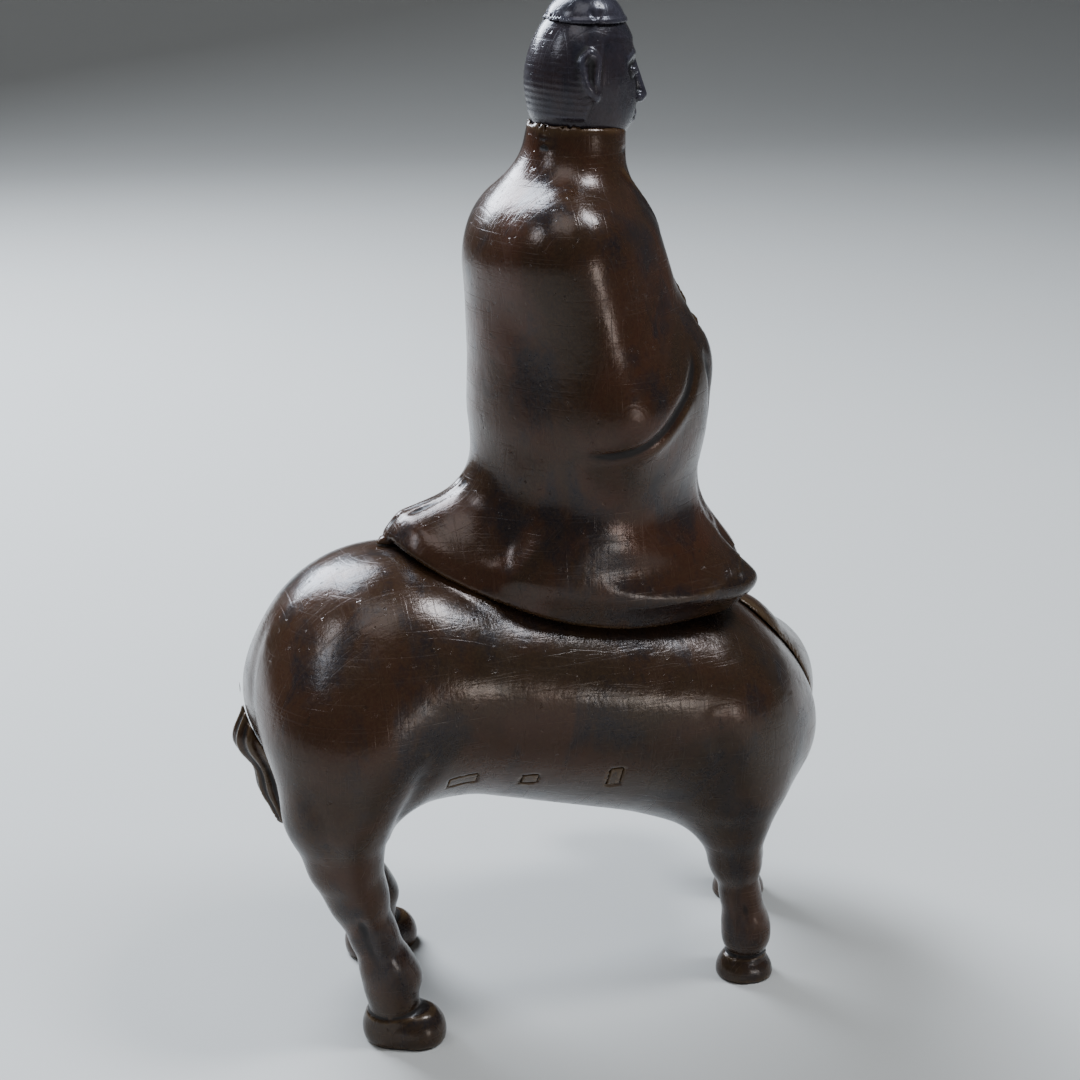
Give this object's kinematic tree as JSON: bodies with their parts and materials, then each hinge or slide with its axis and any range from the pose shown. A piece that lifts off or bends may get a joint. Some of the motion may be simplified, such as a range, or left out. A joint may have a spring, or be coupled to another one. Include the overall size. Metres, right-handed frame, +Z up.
{
  "type": "horse and rider statuette",
  "caption": "Cast bronze statuette: a robed rider sits on a standing horse that turns its lowered head; the hollow rider lifts off an oval opening in the horse's back.",
  "frame": {"origin": "middle of the bounding box's footprint, on the floor under the hooves", "axes": "+X the way the horse faces, +Y the horse's left, +Z up"},
  "size_m": [0.1304, 0.0778, 0.2034],
  "materials": {
    "horse_bronze": "dark patinated bronze, waxed and rubbed, semi-gloss",
    "robe_bronze": "reddish brown patinated bronze, polished by handling",
    "head_bronze": "blue-black patinated bronze, satin",
    "plug_bronze": "slightly paler bronze of the core-pin plugs, filed flush"
  },
  "bodies": {
    "horse": {"horse_body": "horse_bronze", "horse_neck_head": "horse_bronze", "horse_tail": "horse_bronze", "flank_plug_front": "plug_bronze", "flank_plug_middle": "plug_bronze", "flank_plug_rear": "plug_bronze"},
    "rider": {"rider_robe": "robe_bronze", "rider_head": "head_bronze", "topknot_crown": "head_bronze"}
  },
  "joints": [
    {"name": "rider_lift", "type": "slide", "parent": "horse", "child": "rider", "axis": [0, 0, 1], "range_m": [0, 0.05]}
  ]
}
